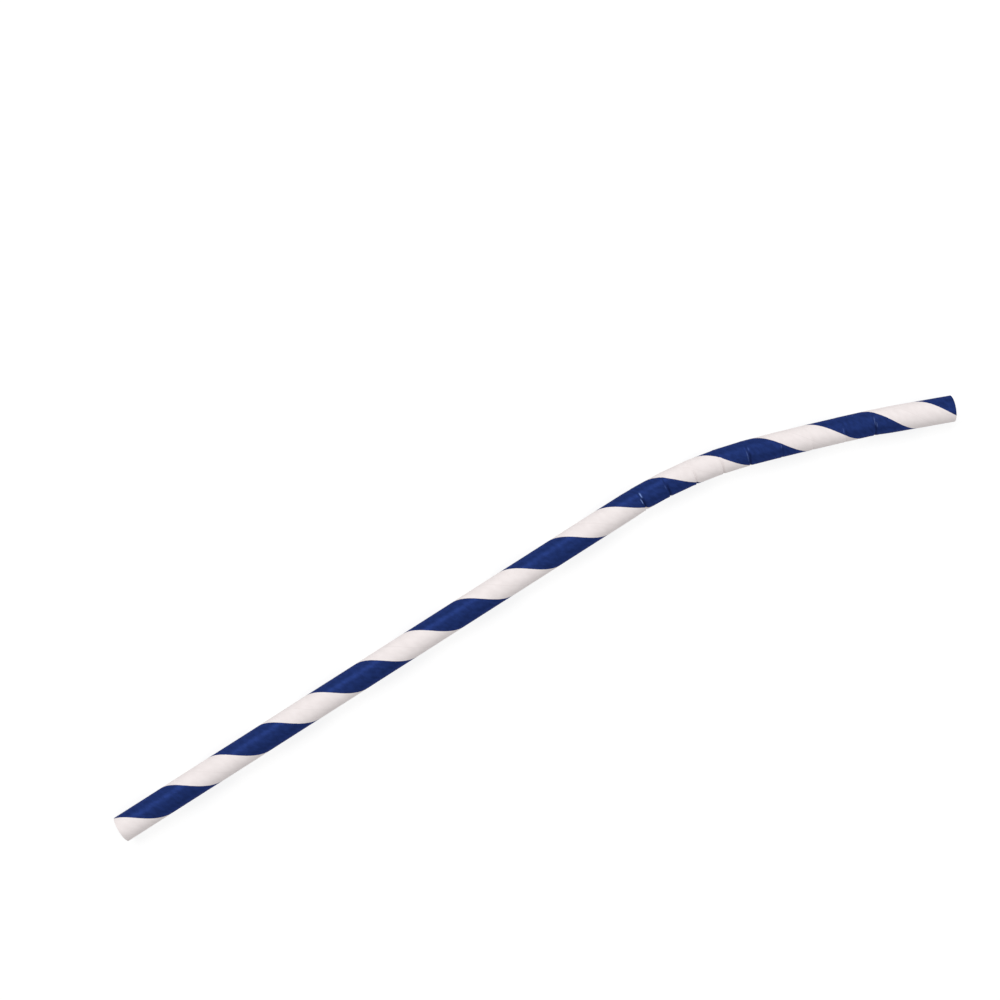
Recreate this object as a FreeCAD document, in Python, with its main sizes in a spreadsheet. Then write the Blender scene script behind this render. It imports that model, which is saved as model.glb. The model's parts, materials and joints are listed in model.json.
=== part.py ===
# Bendy paper drinking straw: one spirally wound paper tube with a rolled flex zone.
# Millimetres, +Z up. The straw lies on z = 0 with its long leg along +X, and the
# mouth leg is bent towards -Y in the plane of the table.

import FreeCAD, Part
import os

doc = FreeCAD.newDocument("paper_straw")

# Driving dimensions, one row of the sheet for each.
DIMENSIONS = [
    ("outer_diameter", 6.0, "outside of the wound tube"),
    ("wall_thickness", 0.38, "three glued plies of paper"),
    ("long_leg", 136.5, "drink end to the valley of the first crease"),
    ("mouth_leg", 18.2, "valley of the last crease to the mouth end"),
    ("folded_gap", 6.4, "between creases that the bend has drawn together"),
    ("open_gap", 7.3, "between creases that lie nearly straight"),
    ("folded_turn", 3.84, "degrees that a folded crease turns"),
    ("folded_depth", 0.11, "valley of a folded crease below its shoulder"),
    ("part_turn", 2.77, "degrees that a part-folded crease turns"),
    ("part_depth", 0.09, "valley of a part-folded crease below its shoulder"),
    ("open_turn", 0.5, "degrees that an open crease turns"),
    ("open_depth", 0.04, "valley of an open crease below its shoulder"),
    ("lip_share", 0.3, "rise of a crease's lip, as a share of its depth"),
    ("valley_lean", 0.9, "shift of a valley off the axis, as a share of its depth"),
    ("lip_rise", 0.4, "foot of the lip to its crest, along the tube"),
    ("lip_fall", 0.4, "crest of the lip to the valley, along the tube"),
    ("crease_reach", 0.8, "valley to the shoulder on its mouth side"),
    ("neck_depth", 0.1, "how far the rolls draw in the whole flex zone"),
    ("neck_run", 3.2, "length over which the tube narrows into the flex zone"),
]

# Creases in order from the long leg, each as the gap before it and how it is folded.
FOLDED_CREASES = 4
OPEN_CREASES = 3
CREASES = (
    [("folded_gap", "folded")] * FOLDED_CREASES
    + [("folded_gap", "part")]
    + [("open_gap", "open")] * OPEN_CREASES
    + [("open_gap", "part")]
)

sheet = doc.addObject("Spreadsheet::Sheet", "sizes")
for row, (alias, value, meaning) in enumerate(DIMENSIONS, start=1):
    sheet.set(f"A{row}", alias)
    sheet.set(f"B{row}", str(value))
    sheet.set(f"C{row}", meaning)
    sheet.setAlias(f"B{row}", alias)
doc.recompute()

TUBE_RADIUS = "sizes.outer_diameter / 2"
NECK_RADIUS = "(sizes.outer_diameter / 2 - sizes.neck_depth)"
LIP_LENGTH = "(sizes.lip_rise + sizes.lip_fall)"

outer_rings = []
inner_rings = []


def step(along, turn="0", shift="0"):
    """Move along a ring's own axis, turn in the plane of the bend, then shift outwards."""
    forward = f"placement(vector(0; 0; {along}); rotation(vector(1; 0; 0); {turn}))"
    sideways = f"placement(vector(0; {shift}; 0); rotation(vector(1; 0; 0); 0))"
    return f"{forward} * {sideways}"


def ring(name, radius, place=None):
    """One outer section circle and the inner circle that keeps the wall's thickness."""
    outer = doc.addObject("Part::Circle", name)
    outer.setExpression("Radius", radius)
    if place:
        outer.setExpression("Placement", place)
    inner = doc.addObject("Part::Circle", name + "_bore")
    inner.setExpression("Radius", f"{radius} - sizes.wall_thickness")
    inner.setExpression("Placement", f"{name}.Placement")
    outer_rings.append(outer)
    inner_rings.append(inner)
    return name


# The drink end faces -X, so the first ring's axis is turned from +Z to +X.
drink_end = ring("drink_end", TUBE_RADIUS)
outer_rings[0].Placement.Rotation = FreeCAD.Rotation(FreeCAD.Vector(0, 1, 0), 90)

# The straight leg ends where the tube starts to narrow into the flex zone.
leg_straight = f"sizes.long_leg - sizes.neck_run - {LIP_LENGTH}"
neck_start = ring("neck_start", TUBE_RADIUS, f"{drink_end}.Placement * {step(leg_straight)}")
previous = neck_start

# Each crease is a low lip on its drink side, a valley in the plane that halves its turn,
# and a shoulder. The valley leans outwards, so it is deepest inside the bend.
for number, (gap, fold) in enumerate(CREASES, start=1):
    depth = f"sizes.{fold}_depth"
    turn = f"sizes.{fold}_turn"
    plain_run = f"sizes.{gap} - sizes.crease_reach - {LIP_LENGTH}"
    approach = step("sizes.neck_run" if number == 1 else plain_run)
    before = ring(f"crease{number}_before", NECK_RADIUS, f"{previous}.Placement * {approach}")
    ring(
        f"crease{number}_lip",
        f"{NECK_RADIUS} + {depth} * sizes.lip_share",
        f"{before}.Placement * {step('sizes.lip_rise')}",
    )
    halfway = step(LIP_LENGTH, f"{turn} / 2", f"{depth} * sizes.valley_lean")
    ring(
        f"crease{number}_valley",
        f"{NECK_RADIUS} - {depth}",
        f"{before}.Placement * {halfway}",
    )
    previous = ring(
        f"crease{number}_after",
        NECK_RADIUS,
        f"{before}.Placement * {step(LIP_LENGTH, turn)} * {step('sizes.crease_reach')}",
    )

# The tube widens again and runs straight to the mouth end.
neck_end = ring("neck_end", TUBE_RADIUS, f"{previous}.Placement * {step('sizes.neck_run')}")
mouth_straight = "sizes.mouth_leg - sizes.neck_run - sizes.crease_reach"
ring("mouth_end", TUBE_RADIUS, f"{neck_end}.Placement * {step(mouth_straight)}")


def skin(name, rings):
    """Straight-sided loft through the rings, closed by flat square-cut ends."""
    loft = doc.addObject("Part::Loft", name)
    loft.Sections = rings
    loft.Solid = True
    loft.Ruled = True
    return loft


outside = skin("outside", outer_rings)
bore = skin("bore", inner_rings)
straw = doc.addObject("Part::Cut", "straw_tube")
straw.Base = outside
straw.Tool = bore
straw.Label = "straw_tube"
doc.recompute()

# The origin is under the middle of the straw's box, on the table.
box = straw.Shape.optimalBoundingBox()
straw.Placement.Base = FreeCAD.Vector(-box.Center.x, -box.Center.y, -box.ZMin)
doc.recompute()

for item in doc.Objects:
    if "Invalid" in item.State or "Error" in item.State:
        raise RuntimeError(f"{item.Name} did not rebuild: {item.State}")

PARTS = [straw]
os.makedirs("parts", exist_ok=True)
for part in PARTS:
    if part.Shape.isNull() or not part.Shape.isValid():
        raise RuntimeError(f"{part.Label} has no valid shape")
    part.Shape.exportStep(os.path.join("parts", part.Label + ".step"))
    box = part.Shape.optimalBoundingBox()
    print(
        part.Label,
        "solids", len(part.Shape.Solids),
        "faces", len(part.Shape.Faces),
        "volume", round(part.Shape.Volume, 2),
        "box", round(box.XLength, 2), round(box.YLength, 2), round(box.ZLength, 2),
        "base", [round(value, 3) for value in part.Placement.Base],
    )
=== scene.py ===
import json
import math
from collections import namedtuple
import bpy
import bmesh
from mathutils import Matrix, Vector


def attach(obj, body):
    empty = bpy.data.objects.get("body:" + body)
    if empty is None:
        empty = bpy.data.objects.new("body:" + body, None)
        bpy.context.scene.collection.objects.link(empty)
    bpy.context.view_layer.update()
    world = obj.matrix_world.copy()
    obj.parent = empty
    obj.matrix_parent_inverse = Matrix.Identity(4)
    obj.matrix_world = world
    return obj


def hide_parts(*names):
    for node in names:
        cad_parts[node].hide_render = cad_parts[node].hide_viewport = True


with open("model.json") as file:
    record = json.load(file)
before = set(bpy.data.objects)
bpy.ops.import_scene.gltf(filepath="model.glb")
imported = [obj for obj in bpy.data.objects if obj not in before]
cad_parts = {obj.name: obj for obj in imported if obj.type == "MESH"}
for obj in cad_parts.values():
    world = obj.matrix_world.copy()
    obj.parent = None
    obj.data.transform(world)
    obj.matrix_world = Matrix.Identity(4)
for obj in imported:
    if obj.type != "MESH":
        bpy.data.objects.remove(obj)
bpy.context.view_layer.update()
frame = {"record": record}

mounts = {mount["name"]: mount for mount in frame["record"]["mounts"]}

# The camera hangs over the table and looks down on the straw, a little from the
# drink end. The long leg runs up the picture from its lower left corner.
camera_place = Vector((-0.00737, 0.01401, 0.3745))
camera_aim = Vector((0.00593, 0.02681, 0.0))
picture_up_turn = math.radians(57.5)

bpy.ops.object.camera_add(location=camera_place)
camera = bpy.context.object
camera.name = "table_camera"
camera.data.sensor_width = 36.0
camera.data.lens = 60.0
camera.data.clip_start = 0.01
ahead = (camera_aim - camera_place).normalized()
picture_up = Vector((math.cos(picture_up_turn), math.sin(picture_up_turn), 0.0))
picture_right = ahead.cross(picture_up).normalized()
camera_turn = Matrix((picture_right, picture_right.cross(ahead), -ahead)).transposed()
camera.rotation_euler = camera_turn.to_euler()
bpy.context.scene.camera = camera
bpy.context.scene.view_settings.view_transform = "Standard"

# The table is a sheet of white board that keeps a soft shadow. It is painted so that
# the lens sees it as white, and it lights the straw from below as plain board does.
table_reach = 0.6
board_colour = (0.7, 0.7, 0.7, 1.0)
board_shade_colour = (0.25, 0.25, 0.25, 1.0)
board_glow = 0.8


def add_node(tree, kind, fill=None, **settings):
    """Adds a node with these settings. Fills each named socket, or links it to another."""
    made = tree.nodes.new(kind)
    for name, value in settings.items():
        setattr(made, name, value)
    for name, value in (fill or {}).items():
        if isinstance(value, bpy.types.NodeSocket):
            tree.links.new(value, made.inputs[name])
        else:
            made.inputs[name].default_value = value
    return made


def seen_by_lens_or_mirror(tree):
    """A mask of the rays that come from the lens, or off a glossy surface."""
    path = add_node(tree, "ShaderNodeLightPath")
    seen = add_node(
        tree,
        "ShaderNodeMath",
        {0: path.outputs["Is Camera Ray"], 1: path.outputs["Is Glossy Ray"]},
        operation="MAXIMUM",
    )
    return seen.outputs["Value"]


bpy.ops.mesh.primitive_plane_add(size=2 * table_reach, location=(0.0, 0.0, 0.0))
table = bpy.context.object
table.name = "table"

board = bpy.data.materials.new("white_board")
board.use_nodes = True
tree = board.node_tree
tree.nodes.clear()
plain = add_node(tree, "ShaderNodeBsdfDiffuse", {"Color": board_colour})
shaded = add_node(tree, "ShaderNodeBsdfDiffuse", {"Color": board_shade_colour})
glow = add_node(tree, "ShaderNodeEmission", {"Strength": board_glow})
painted = add_node(
    tree, "ShaderNodeAddShader", {0: shaded.outputs["BSDF"], 1: glow.outputs["Emission"]}
)
choose = add_node(
    tree,
    "ShaderNodeMixShader",
    {0: seen_by_lens_or_mirror(tree), 1: plain.outputs["BSDF"], 2: painted.outputs["Shader"]},
)
add_node(tree, "ShaderNodeOutputMaterial", {"Surface": choose.outputs["Shader"]})
table.data.materials.append(board)

# A long soft lamp stands beyond the top left of the picture, and a smaller one to the
# right fills in the near side of the straw. The room is white to the lens.
room_strength = 0.416
lamp_aim = Vector((0.0, 0.0, 0.0))

room = bpy.data.worlds.new("room")
room.use_nodes = True
bpy.context.scene.world = room
tree = room.node_tree
tree.nodes.clear()
path = add_node(tree, "ShaderNodeLightPath")
fill = add_node(tree, "ShaderNodeBackground", {"Color": (1, 1, 1, 1), "Strength": room_strength})
white = add_node(tree, "ShaderNodeBackground", {"Color": (1, 1, 1, 1), "Strength": 1.0})
choose = add_node(
    tree,
    "ShaderNodeMixShader",
    {0: path.outputs["Is Camera Ray"], 1: fill.outputs["Background"], 2: white.outputs["Background"]},
)
add_node(tree, "ShaderNodeOutputWorld", {"Surface": choose.outputs["Shader"]})

for name, place, length, width, power in (
    ("window_lamp", Vector((-0.12, 0.80, 1.08)), 1.5, 0.8, 11.3),
    ("front_lamp", Vector((0.45, -0.38, 0.85)), 0.7, 0.7, 2.75),
):
    bpy.ops.object.light_add(type="AREA", location=place)
    lamp = bpy.context.object
    lamp.name = name
    lamp.data.shape = "RECTANGLE"
    lamp.data.size = length
    lamp.data.size_y = width
    lamp.data.energy = power
    lamp.rotation_euler = (place - lamp_aim).to_track_quat("Z", "Y").to_euler()

# The straw is three plies of white paper, wound on the slant round a rod and glued, with
# a blue band printed along the outer ply. Rolls press creases across one stretch of the
# finished tube, and it is bent there. It is sawn off square at both ends.
MM = 0.001
tube_radius = mounts["drink_outside"]["dims"]["r_mm"] * MM
bore_radius = mounts["drink_bore"]["dims"]["r_mm"] * MM
leg_straight = mounts["drink_outside"]["dims"]["length_mm"] * MM
mouth_straight = mounts["mouth_outside"]["dims"]["length_mm"] * MM
drink_end = Vector(mounts["drink_outside"]["pos_m"])

neck_run = 3.2 * MM
neck_depth = 0.1 * MM
lip_rise = 0.4 * MM
lip_fall = 0.4 * MM
lip_share = 0.3
crease_reach = 0.8 * MM
valley_lean = 0.9
folded_gap = 6.4 * MM
open_gap = 7.3 * MM

# Each way of folding a crease is the degrees that it turns, and the depth of its valley.
folded = (3.84, 0.11 * MM)
part_folded = (2.77, 0.09 * MM)
barely_folded = (0.5, 0.04 * MM)
rolled = [(leg_straight + neck_run + lip_rise + lip_fall, *folded)]
for gap, fold in (
    [(folded_gap, folded)] * 3
    + [(folded_gap, part_folded)]
    + [(open_gap, barely_folded)] * 3
    + [(open_gap, part_folded)]
):
    rolled.append((rolled[-1][0] + gap, *fold))
flex_start = leg_straight
flex_end = rolled[-1][0] + crease_reach + neck_run
straw_length = flex_end + mouth_straight

# The paper gives a little under each roll. These are each crease's drift from its even
# place towards the mouth end in mm, its extra turn in degrees, and the paper that it takes
# up in mm.
gives_way = [
    (-0.45, -0.18, 0.215),
    (-0.55, 0.0, 0.215),
    (-0.2, 0.0, 0.215),
    (0.0, 0.0, 0.215),
    (0.0, 0.18, 0.0),
    (0.2, 0.0, 0.0),
    (0.0, 0.0, 0.12),
    (0.25, 0.0, 0.12),
    (-0.2, 0.0, 0.28),
]
Crease = namedtuple("Crease", "centre turn depth taken")
creases = [
    Crease(even + drift * MM, turn + extra, depth, taken * MM)
    for (even, turn, depth), (drift, extra, taken) in zip(rolled, gives_way)
]

# The outer ply winds right-handed, one turn for each pitch. The winding is tighter at the
# creases, by the paper that they take up.
winding_pitch = 25.368 * MM
seam_start = math.radians(-21.1)


def paper_along(place):
    """Length of paper wound up between the drink end and this place on the tube."""
    wound_up = place
    for crease in creases:
        across_crease = (place - crease.centre + crease_reach) / (2.0 * crease_reach)
        wound_up += crease.taken * min(max(across_crease, 0.0), 1.0)
    return wound_up


def neck_at(place):
    """How far the rolls have drawn the tube in at this place."""
    into_zone = min(place - flex_start, flex_end - place) / neck_run
    return neck_depth * min(max(into_zone, 0.0), 1.0)


# The wall gets a ring of points wherever a crease will need one, here in mm past its valley,
# and at even steps between the creases.
crease_rings = [-0.85, -0.7, -0.58, -0.47, -0.38, -0.32, -0.27, -0.21, -0.14, -0.07]
crease_rings += [0.0, 0.06, 0.14, 0.26, 0.42, 0.6, 0.8]
ring_step = 0.75 * MM
fixed = {0.0, straw_length, flex_start, flex_end}
for crease in creases:
    fixed.update(crease.centre + away * MM for away in crease_rings)
rings = sorted(fixed)
steps = round(straw_length / ring_step)
for step in range(1, steps):
    place = straw_length * step / steps
    if min(abs(place - other) for other in fixed) > 0.5 * ring_step:
        rings.append(place)
rings.sort()

# The tube starts as its cut end: a ring of points with its seam turned to its place, and
# more points beside the seam. Each point keeps how far it lies across the ply, rounded so
# that the seam's own points hold exactly 0.
columns = 72
seam_cuts = 2
ply_place_digits = 6
bpy.ops.object.select_all(action="DESELECT")
bpy.ops.mesh.primitive_circle_add(
    vertices=columns,
    radius=tube_radius,
    fill_type="NOTHING",
    location=drink_end,
    rotation=(0.0, math.radians(90.0), 0.0),
)
straw = bpy.context.object
straw.name = "wound_tube"
bpy.ops.object.transform_apply(location=True, rotation=True, scale=True)
mesh = straw.data


def turn_selected(degrees, axis, centre):
    """Right-handed turn of what is selected, about a row axis through the centre."""
    # Blender's own rotate counts the other way round.
    bpy.ops.transform.rotate(
        value=-math.radians(degrees),
        orient_axis=axis,
        orient_type="GLOBAL",
        center_override=centre,
    )


def angle_from_top(point):
    """Angle of a point round the straight tube, from its top towards +Y."""
    return math.atan2(point.y - drink_end.y, point.z - drink_end.z)


bpy.ops.object.mode_set(mode="EDIT")
bpy.ops.mesh.select_all(action="SELECT")
turn_selected(90.0 - math.degrees(seam_start), "X", drink_end)
bpy.ops.mesh.select_mode(type="EDGE")
bpy.ops.mesh.select_all(action="DESELECT")
points = bmesh.from_edit_mesh(mesh)
for edge in points.edges:
    edge.select = any(
        abs(angle_from_top(point.co) - seam_start) < math.pi / columns for point in edge.verts
    )
bmesh.update_edit_mesh(mesh)
bpy.ops.mesh.subdivide(number_cuts=seam_cuts)
bpy.ops.object.mode_set(mode="OBJECT")

ply_place = mesh.attributes.new("ply_place", "FLOAT", "POINT")
for point in mesh.vertices:
    turns = (angle_from_top(point.co) - seam_start) / (2.0 * math.pi)
    ply_place.data[point.index].value = round(turns, ply_place_digits) % 1.0

# The ring is wound on as it is drawn out, so its columns of faces run along the ply.
bpy.ops.object.mode_set(mode="EDIT")
bpy.ops.mesh.select_mode(type="VERT")
bpy.ops.mesh.select_all(action="SELECT")
for last, here in zip(rings, rings[1:]):
    centre = drink_end + Vector((here, 0.0, 0.0))
    wound = 360.0 * (paper_along(here) - paper_along(last)) / winding_pitch
    draw_in = (tube_radius - neck_at(here)) / (tube_radius - neck_at(last))
    bpy.ops.mesh.extrude_edges_move(
        TRANSFORM_OT_translate={"value": (here - last, 0.0, 0.0)}
    )
    turn_selected(wound, "X", centre)
    bpy.ops.transform.resize(value=(1.0, draw_in, draw_in), center_override=centre)
bpy.ops.mesh.select_all(action="SELECT")
bpy.ops.mesh.normals_make_consistent(inside=False)
bpy.ops.object.mode_set(mode="OBJECT")

# The paper's own map is laid while the tube is straight: U along the tube, V once
# across the ply from seam to seam. Both are in turns of the tube's girth.
girth = 2.0 * math.pi * tube_radius
ply_map = mesh.uv_layers.new(name="ply")
ply_place = mesh.attributes["ply_place"]
for face in mesh.polygons:
    across = [ply_place.data[index].value for index in face.vertices]
    over_seam = max(across) - min(across) > 0.5
    for loop, index, place_across in zip(face.loop_indices, face.vertices, across):
        if over_seam and place_across == 0.0:
            place_across = 1.0
        along = paper_along(mesh.vertices[index].co.x - drink_end.x)
        ply_map.data[loop].uv = (along / girth, place_across)

# The wall is grown inwards from the printed face.
wall_thickness = tube_radius - bore_radius
wall = straw.modifiers.new("wall", "SOLIDIFY")
wall.thickness = wall_thickness
wall.offset = -1.0
wall.use_even_offset = True
wall.material_offset = 1
wall.material_offset_rim = 2
for name in ("printed_paper", "plain_paper", "sawn_paper"):
    mesh.materials.append(bpy.data.materials.new(name))
bpy.ops.object.modifier_apply(modifier="wall")

# The rolls press the creases while the tube is straight. Each ring of points near a
# valley is let out or drawn in to the crease's form, and the valley leans to the outside
# of the bend.
ring_width = 0.02 * MM


def select_between(low, high):
    """Selects the points whose place along the row lies between these, and no others."""
    points = bmesh.from_edit_mesh(mesh)
    for point in points.verts:
        point.select = low < point.co.x - drink_end.x < high
    points.select_flush_mode()
    bmesh.update_edit_mesh(mesh)


def smooth_share(share):
    """Eases a share from 0 to 1 at both of its ends."""
    share = min(max(share, 0.0), 1.0)
    return share * share * (3.0 - 2.0 * share)


def crease_form(away):
    """Rise of the wall this far past a valley, as a share of the crease's depth."""
    if away < -lip_fall:
        return lip_share * smooth_share(1.0 + (away + lip_fall) / lip_rise)
    if away < 0.0:
        return (1.0 + lip_share) * smooth_share(-away / lip_fall) - 1.0
    return -max(0.0, 1.0 - away / crease_reach) ** 2


neck_radius = tube_radius - neck_depth
bpy.ops.object.mode_set(mode="EDIT")
bpy.ops.mesh.select_mode(type="VERT")
for crease in creases:
    for away in crease_rings:
        rise = crease.depth * crease_form(away * MM)
        lean = -min(rise, 0.0) * valley_lean
        place = crease.centre + away * MM
        squeeze = 1.0 + rise / neck_radius
        select_between(place - ring_width, place + ring_width)
        bpy.ops.transform.resize(value=(1.0, squeeze, squeeze), center_override=drink_end)
        bpy.ops.transform.translate(value=(0.0, lean, 0.0))
bpy.ops.object.mode_set(mode="OBJECT")

# The print is rubbed pale along some stretches of the creases' lips, and the faint stretches near the
# top are painted highlights on the lips. Each is its crease's number, its place past the valley in
# mm, its angle from the top towards the inside of the bend, its reach either way in degrees, and the
# share of the way to the pale colour.
rubs_and_lip_highlights = [
    (1, 0.14, -11.0, 13.0, 1.0),
    (1, -0.32, 16.0, 14.0, 0.75),
    (2, -0.47, 12.0, 10.0, 0.13),
    (2, -0.3, -160.0, 20.0, 0.7),
    (3, -0.3, 118.0, 16.0, 0.9),
    (4, -0.3, -100.0, 18.0, 0.7),
    (5, -0.45, 18.0, 28.0, 0.2),
    (5, 0.14, -13.0, 9.0, 0.13),
    (6, -0.07, 11.0, 9.0, 0.16),
    (7, -0.3, 150.0, 14.0, 0.8),
    (8, -0.42, 12.0, 15.0, 0.16),
    (9, 0.0, -3.0, 22.0, 0.22),
    (9, 0.38, 16.0, 12.0, 0.26),
    (9, -0.3, 150.0, 24.0, 0.7),
]
rub_and_highlight_reach = 0.15 * MM

# Shade is painted into the creases: the colour is darker round a place a little past each valley,
# on the half of the tube that faces the inside of the bend, and the painted shade is weak at the top.
shade_place = 0.1 * MM
shade_reach = 0.45 * MM
shade_on_top = 0.35
shade_round = 2.0


def rub_and_highlight_at(place, angle):
    """How far the ink is paled there, by rubbing and by painted highlights. It fades over the outer
    half of a stretch's reach.
    """
    shares = [0.0]
    for number, past_valley, stretch_angle, reach, rub_and_highlight_share in rubs_and_lip_highlights:
        centre = creases[number - 1].centre
        along = abs(place - centre - past_valley * MM) / rub_and_highlight_reach
        apart = abs((angle - stretch_angle + 180.0) % 360.0 - 180.0) / reach
        shares.append(rub_and_highlight_share * min(1.0 - along, 2.0 * (1.0 - apart)))
    return min(max(shares), 1.0)


def painted_fold_shade_at(place, angle):
    """How dark the painted shade in the creases is there. It is darkest inside the bend."""
    darkest = 0.0
    for crease in creases:
        near_valley = 1.0 - abs(place - crease.centre - shade_place) / shade_reach
        darkest = max(darkest, near_valley * crease.depth / folded[1])
    return darkest * smooth_share(shade_on_top + shade_round * math.sin(math.radians(angle)))


# These two attributes hold the rubbed print with painted highlights on some crease lips, and the
# painted shade in the creases.
rub_and_highlight = mesh.attributes.new("rub_and_highlight", "FLOAT", "POINT")
fold = mesh.attributes.new("fold", "FLOAT", "POINT")
for point in mesh.vertices:
    place = point.co.x - drink_end.x
    inwards_angle = -math.degrees(angle_from_top(point.co))
    rub_and_highlight.data[point.index].value = rub_and_highlight_at(place, inwards_angle)
    fold.data[point.index].value = painted_fold_shade_at(place, inwards_angle)

# Each sawn end shows its three plies as rings, with a hairline joint between them.
plies = 3
joints = [tube_radius - wall_thickness * ply / plies for ply in range(1, plies)]
joint_sink = 0.025 * MM
printed_slot = 0
sawn_slot = 2

bpy.ops.object.mode_set(mode="EDIT")
bpy.ops.mesh.select_mode(type="EDGE")
bpy.ops.mesh.select_all(action="DESELECT")
points = bmesh.from_edit_mesh(mesh)
for edge in points.edges:
    edge.select = all(face.material_index == sawn_slot for face in edge.link_faces)
bmesh.update_edit_mesh(mesh)
bpy.ops.mesh.subdivide(number_cuts=2 * plies - 1)
bpy.ops.mesh.select_mode(type="VERT")
for end, inwards in ((0.0, 1.0), (straw_length, -1.0)):
    points = bmesh.from_edit_mesh(mesh)
    for point in points.verts:
        out = math.hypot(point.co.y - drink_end.y, point.co.z - drink_end.z)
        at_end = abs(point.co.x - drink_end.x - end) < ring_width
        point.select = at_end and min(abs(out - joint) for joint in joints) < ring_width
    points.select_flush_mode()
    bmesh.update_edit_mesh(mesh)
    bpy.ops.transform.translate(value=(inwards * joint_sink, 0.0, 0.0))

# The outer ply's two edges meet in a butt seam, which runs round the straw as a groove.
seam_sink = 0.02 * MM
points = bmesh.from_edit_mesh(mesh)
across = points.verts.layers.float["ply_place"]
for point in points.verts:
    outside = any(face.material_index == printed_slot for face in point.link_faces)
    point.select = outside and point[across] == 0.0
points.select_flush_mode()
bmesh.update_edit_mesh(mesh)
bpy.ops.transform.shrink_fatten(value=-seam_sink)

# The saw leaves both ends with their edges broken.
broken_edge = 0.03 * MM
bpy.ops.mesh.select_mode(type="EDGE")
bpy.ops.mesh.select_all(action="DESELECT")
points = bmesh.from_edit_mesh(mesh)
for edge in points.edges:
    sawn = [face.material_index == sawn_slot for face in edge.link_faces]
    edge.select = any(sawn) and not all(sawn)
bmesh.update_edit_mesh(mesh)
bpy.ops.mesh.bevel(offset=broken_edge, segments=2)

# The straw is bent at one crease after another, from the mouth end back. Each valley
# takes its turn in several hinge lines, so that the wall doesn't fold to a point. Each
# hinge line lies on one of the crease's rings of points.
hinges = [away * MM for away in (-0.27, -0.14, -0.07, 0.0, 0.06, 0.14, 0.26)]
hinge_clear = 0.01 * MM
smooth_under = math.radians(40.0)
bpy.ops.mesh.select_mode(type="VERT")
for crease in reversed(creases):
    for hinge in reversed(hinges):
        hinge_line = drink_end + Vector((crease.centre + hinge, 0.0, 0.0))
        select_between(crease.centre + hinge + hinge_clear, math.inf)
        turn_selected(-crease.turn / len(hinges), "Z", hinge_line)
bpy.ops.object.mode_set(mode="OBJECT")
bpy.ops.object.shade_smooth_by_angle(angle=smooth_under)


def new_group(name, takes, gives):
    """An empty node group with these named sockets, and its input and output nodes."""
    group = bpy.data.node_groups.new(name, "ShaderNodeTree")
    for socket, kind in takes:
        group.interface.new_socket(socket, in_out="INPUT", socket_type=kind)
    for socket, kind in gives:
        group.interface.new_socket(socket, in_out="OUTPUT", socket_type=kind)
    return group, group.nodes.new("NodeGroupInput"), group.nodes.new("NodeGroupOutput")


# Straw paper under its finish: cloudy where the pulp lies thick and thin, and streaked by
# its fibres, which run along the ply. Places and sizes are in millimetres.
wound_paper, takes, gives = new_group(
    "wound_paper",
    [
        ("Place", "NodeSocketVector"),
        ("Cloud size", "NodeSocketFloat"),
        ("Fibre length", "NodeSocketFloat"),
        ("Fibre width", "NodeSocketFloat"),
    ],
    [("Cloud", "NodeSocketFloat"), ("Fibre", "NodeSocketFloat")],
)
cloud_scale = add_node(
    wound_paper, "ShaderNodeMath", {0: 1.0, 1: takes.outputs["Cloud size"]}, operation="DIVIDE"
)
cloud = add_node(
    wound_paper,
    "ShaderNodeTexNoise",
    {"Vector": takes.outputs["Place"], "Scale": cloud_scale.outputs["Value"], "Detail": 3.0},
)
fibre_size = add_node(
    wound_paper,
    "ShaderNodeCombineXYZ",
    {
        "X": takes.outputs["Fibre length"],
        "Y": takes.outputs["Fibre width"],
        "Z": takes.outputs["Fibre width"],
    },
)
fibre_place = add_node(
    wound_paper,
    "ShaderNodeVectorMath",
    {0: takes.outputs["Place"], 1: fibre_size.outputs["Vector"]},
    operation="DIVIDE",
)
fibre = add_node(
    wound_paper,
    "ShaderNodeTexNoise",
    {"Vector": fibre_place.outputs["Vector"], "Scale": 1.0, "Detail": 2.0},
)
wound_paper.links.new(cloud.outputs["Fac"], gives.inputs["Cloud"])
wound_paper.links.new(fibre.outputs["Fac"], gives.inputs["Fibre"])


def paper_node(tree, place, cloud_size, fibre_length, fibre_width):
    """The paper's own pattern in a material, at its sizes in millimetres."""
    made = add_node(tree, "ShaderNodeGroup", node_tree=wound_paper)
    tree.links.new(place, made.inputs["Place"])
    made.inputs["Cloud size"].default_value = cloud_size
    made.inputs["Fibre length"].default_value = fibre_length
    made.inputs["Fibre width"].default_value = fibre_width
    return made.outputs["Cloud"], made.outputs["Fibre"]


def mix_colours(tree, share, first, second):
    """A colour between two others, by a share from 0 to 1."""
    made = tree.nodes.new("ShaderNodeMix")
    made.data_type = "RGBA"
    for socket, value in (("Factor", share), ("A", first), ("B", second)):
        if isinstance(value, bpy.types.NodeSocket):
            tree.links.new(value, made.inputs[socket])
        else:
            made.inputs[socket].default_value = value
    return made.outputs["Result"]


def eased(tree, value, low, high, start=0.0, end=1.0):
    """Carries a value from low to high over to start to end, eased at both ends."""
    made = add_node(
        tree,
        "ShaderNodeMapRange",
        {"Value": value, "From Min": low, "From Max": high, "To Min": start, "To Max": end},
        interpolation_type="SMOOTHSTEP",
    )
    return made.outputs["Result"]


def clouded(tree, noise, thick, thin):
    """A colour that drifts between two others as a noise does, over its middle range."""
    return mix_colours(tree, eased(tree, noise, 0.3, 0.7), thick, thin)


def tinted(tree, share, colour, tint):
    """A colour darkened by a tint, as far as the share says."""
    made = tree.nodes.new("ShaderNodeMix")
    made.data_type = "RGBA"
    made.blend_type = "MULTIPLY"
    tree.links.new(share, made.inputs["Factor"])
    tree.links.new(colour, made.inputs["A"])
    made.inputs["B"].default_value = tint
    return made.outputs["Result"]


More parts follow.
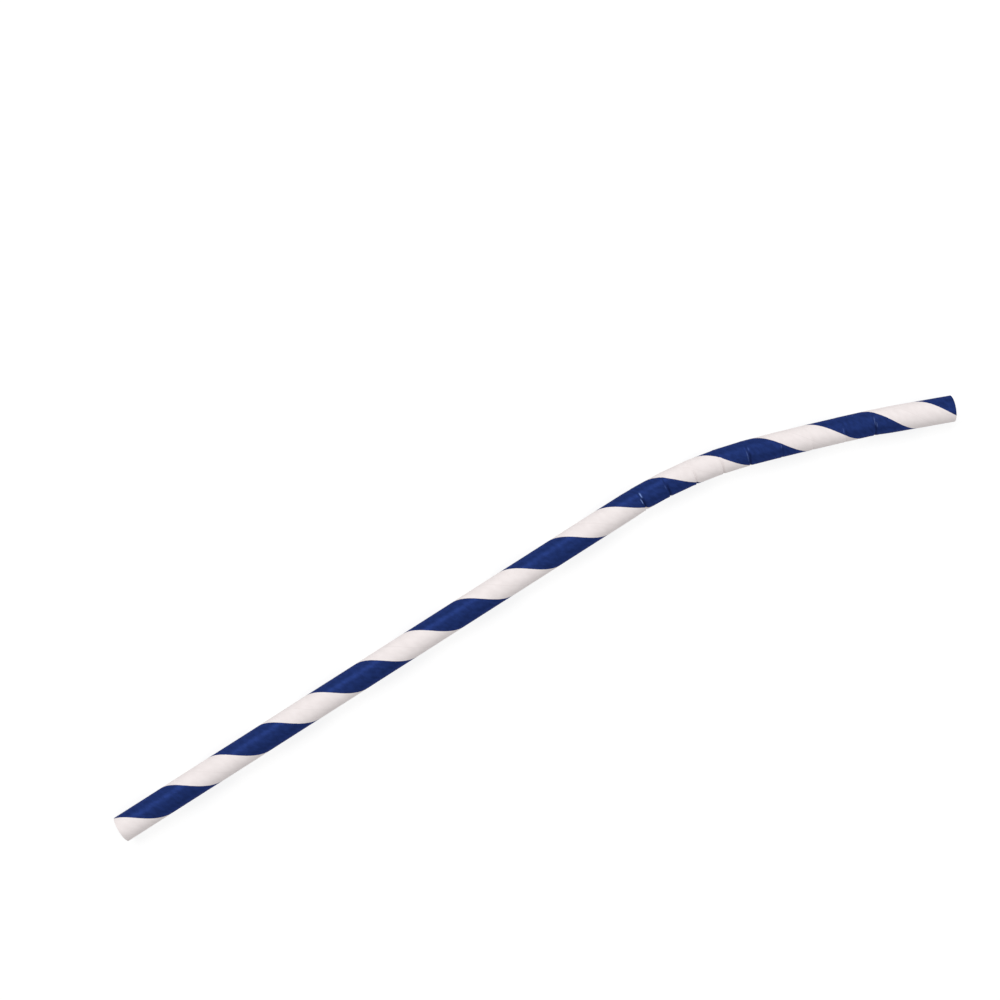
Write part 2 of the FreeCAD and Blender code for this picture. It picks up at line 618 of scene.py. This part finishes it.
def worked(tree, operation, first, second=0.0, third=0.0):
    """The result of a sum or other operation on values or sockets."""
    made = add_node(tree, "ShaderNodeMath", {0: first, 1: second, 2: third}, operation=operation)
    return made.outputs["Value"]


def ply_places(tree):
    """The place on the ply: as a share across it, and as a vector in millimetres."""
    ply = add_node(tree, "ShaderNodeUVMap", uv_map="ply")
    split = add_node(tree, "ShaderNodeSeparateXYZ", {"Vector": ply.outputs["UV"]})
    place = add_node(
        tree,
        "ShaderNodeVectorMath",
        {0: ply.outputs["UV"], 1: (girth / MM, girth / MM, 0.0)},
        operation="MULTIPLY",
    )
    return split.outputs["Y"], place.outputs["Vector"]


def finish_surface(tree, colour, roughness, height):
    """Gives a material's shader its colour, roughness and relief in millimetres."""
    shader = tree.nodes["Principled BSDF"]
    relief = add_node(tree, "ShaderNodeBump", {"Height": height, "Strength": 1.0, "Distance": MM})
    tree.links.new(colour, shader.inputs["Base Color"])
    tree.links.new(roughness, shader.inputs["Roughness"])
    tree.links.new(relief.outputs["Normal"], shader.inputs["Normal"])
    return shader


# The printed face: a blue band on white paper, with slightly ragged edges. The ink lies
# mottled in the paper, is rubbed pale along the creases, carries painted highlights on some
# crease lips and painted shade in the creases, and has a satin face.
face_grain = {"cloud_size": 1.6, "fibre_length": 1.4, "fibre_width": 0.07}
paper_white = (0.875, 0.812, 0.805, 1.0)
paper_shade = (0.835, 0.772, 0.765, 1.0)
seam_shade = (0.70, 0.645, 0.635, 1.0)
seam_strength = 0.42
ink_deep = (0.0130, 0.0282, 0.124, 1.0)
ink_bright = (0.0170, 0.0376, 0.166, 1.0)
# The pale ink colour serves both rubbed print and painted highlights on the crease lips.
ink_rub_and_highlight = (0.27, 0.40, 0.80, 1.0)
# These two tints darken the paper and the ink where shade is painted into the creases.
paper_painted_shade = (0.91, 0.9, 0.9, 1.0)
ink_painted_shade = (0.5, 0.44, 0.46, 1.0)
ink_metal = 0.31

# These say how fine the noise is, per millimetre: in the band's ragged edge, in the rubs that break
# up the worn print and the painted lip highlights, and in the ink's mottle.
ragged_grain = 2.2
breakup_grain = 2.5
mottle_grain = 0.9

# These are shares of the way across the ply: the band's borders, how soft and how ragged
# they are, and how far the seam and the ridges show to each side.
blue_from = 0.266
blue_to = 0.782
ink_edge = 0.002
ink_ragged = 0.003
seam_reach = 0.006
ridge_reach = 0.06 / plies

# These are heights of the relief in millimetres, and roughnesses.
ridge_height = 0.012
fibre_height = 0.004
cloud_height = 0.008
paper_roughness = 0.56
satin_smoothness = 0.2
fibre_roughness = 0.12

printed = bpy.data.materials["printed_paper"]
printed.use_nodes = True
tree = printed.node_tree
across, place = ply_places(tree)
cloud, fibre = paper_node(tree, place, **face_grain)

ragged = add_node(
    tree, "ShaderNodeTexNoise", {"Vector": place, "Scale": ragged_grain, "Detail": 3.0}
)
ragged_across = worked(tree, "MULTIPLY_ADD", ragged.outputs["Fac"], 2.0 * ink_ragged, across)
ragged_across = worked(tree, "SUBTRACT", ragged_across, ink_ragged)
ink_starts = eased(tree, ragged_across, blue_from - ink_edge, blue_from + ink_edge)
ink_ends = eased(tree, ragged_across, blue_to - ink_edge, blue_to + ink_edge, 1.0, 0.0)
ink = worked(tree, "MULTIPLY", ink_starts, ink_ends)

# Rubbed print and painted highlights on some crease lips pale the ink here.
rub_and_lip_highlight = add_node(tree, "ShaderNodeAttribute", attribute_name="rub_and_highlight").outputs["Fac"]
mark_breakup = add_node(
    tree, "ShaderNodeTexNoise", {"Vector": place, "Scale": breakup_grain, "Detail": 2.0}
)
rub_and_highlight_share = worked(tree, "MULTIPLY", rub_and_lip_highlight, eased(tree, mark_breakup.outputs["Fac"], 0.25, 0.5))
satin = worked(tree, "MULTIPLY", ink, worked(tree, "SUBTRACT", 1.0, rub_and_highlight_share))

mottle = add_node(
    tree, "ShaderNodeTexNoise", {"Vector": place, "Scale": mottle_grain, "Detail": 3.0}
)
ink_colour = clouded(tree, mottle.outputs["Fac"], ink_deep, ink_bright)
paper_colour = clouded(tree, cloud, paper_shade, paper_white)
from_middle = worked(tree, "ABSOLUTE", worked(tree, "SUBTRACT", across, 0.5))
seam = eased(tree, from_middle, 0.5 - seam_reach, 0.5, 0.0, seam_strength)
paper_colour = mix_colours(tree, seam, paper_colour, seam_shade)
# Painted shade in the creases darkens the ink and the paper.
painted_fold_shade = add_node(tree, "ShaderNodeAttribute", attribute_name="fold").outputs["Fac"]
ink_colour = tinted(tree, painted_fold_shade, ink_colour, ink_painted_shade)
ink_colour = mix_colours(tree, rub_and_highlight_share, ink_colour, ink_rub_and_highlight)
paper_colour = tinted(tree, painted_fold_shade, paper_colour, paper_painted_shade)

# The seam of each ply, also of those underneath, shows as a low ridge.
steps_across = worked(tree, "MULTIPLY_ADD", across, float(plies), 0.5)
from_ridge = worked(tree, "SUBTRACT", worked(tree, "FRACT", steps_across), 0.5)
from_ridge = worked(tree, "ABSOLUTE", from_ridge)
ridge = eased(tree, from_ridge, 0.0, plies * ridge_reach, ridge_height, 0.0)
height = worked(tree, "MULTIPLY_ADD", fibre, fibre_height, ridge)
height = worked(tree, "MULTIPLY_ADD", cloud, cloud_height, height)
roughness = worked(tree, "MULTIPLY_ADD", satin, -satin_smoothness, paper_roughness)
roughness = worked(tree, "MULTIPLY_ADD", fibre, fibre_roughness, roughness)
face_colour = mix_colours(tree, ink, paper_colour, ink_colour)
shader = finish_surface(tree, face_colour, roughness, height)
tree.links.new(worked(tree, "MULTIPLY", satin, ink_metal), shader.inputs["Metallic"])
shader.inputs["Specular IOR Level"].default_value = 0.015
shader.inputs["Specular Tint"].default_value = (0.3, 0.35, 0.6, 1.0)

# The inside is the bare face of the inner ply, with a butt seam of its own. It is a little
# coarser than the printed face.
inner_seam_depth = 0.03
inner_fibre_height = 0.01
inner_roughness = 0.64

plain = bpy.data.materials["plain_paper"]
plain.use_nodes = True
tree = plain.node_tree
across, place = ply_places(tree)
cloud, fibre = paper_node(tree, place, **face_grain)
paper_colour = clouded(tree, cloud, paper_shade, paper_white)
from_seam = worked(tree, "ABSOLUTE", worked(tree, "SUBTRACT", across, 1.0 / plies))
seam = eased(tree, from_seam, 0.0, seam_reach)
paper_colour = mix_colours(tree, seam, seam_shade, paper_colour)
height = worked(tree, "MULTIPLY", fibre, inner_fibre_height)
height = worked(tree, "MULTIPLY_ADD", seam, inner_seam_depth, height)
roughness = worked(tree, "MULTIPLY_ADD", fibre, fibre_roughness, inner_roughness)
shader = finish_surface(tree, paper_colour, roughness, height)
shader.inputs["Specular IOR Level"].default_value = 0.15

# The sawn ends show the plies edge on: short torn fibres, a little darker than the face.
sawn_grain = {"cloud_size": 0.25, "fibre_length": 0.12, "fibre_width": 0.05}
sawn_fibre_height = 0.03
sawn_roughness = 0.75
sawn_cloud_roughness = 0.1

sawn = bpy.data.materials["sawn_paper"]
sawn.use_nodes = True
tree = sawn.node_tree
spot = add_node(tree, "ShaderNodeTexCoord")
place = add_node(
    tree,
    "ShaderNodeVectorMath",
    {0: spot.outputs["Object"], "Scale": 1.0 / MM},
    operation="SCALE",
).outputs["Vector"]
cloud, fibre = paper_node(tree, place, **sawn_grain)
paper_colour = clouded(tree, cloud, seam_shade, paper_white)
height = worked(tree, "MULTIPLY", fibre, sawn_fibre_height)
roughness = worked(tree, "MULTIPLY_ADD", cloud, sawn_cloud_roughness, sawn_roughness)
shader = finish_surface(tree, paper_colour, roughness, height)
shader.inputs["Specular IOR Level"].default_value = 0.1

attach(straw, "root")
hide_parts("straw_tube")
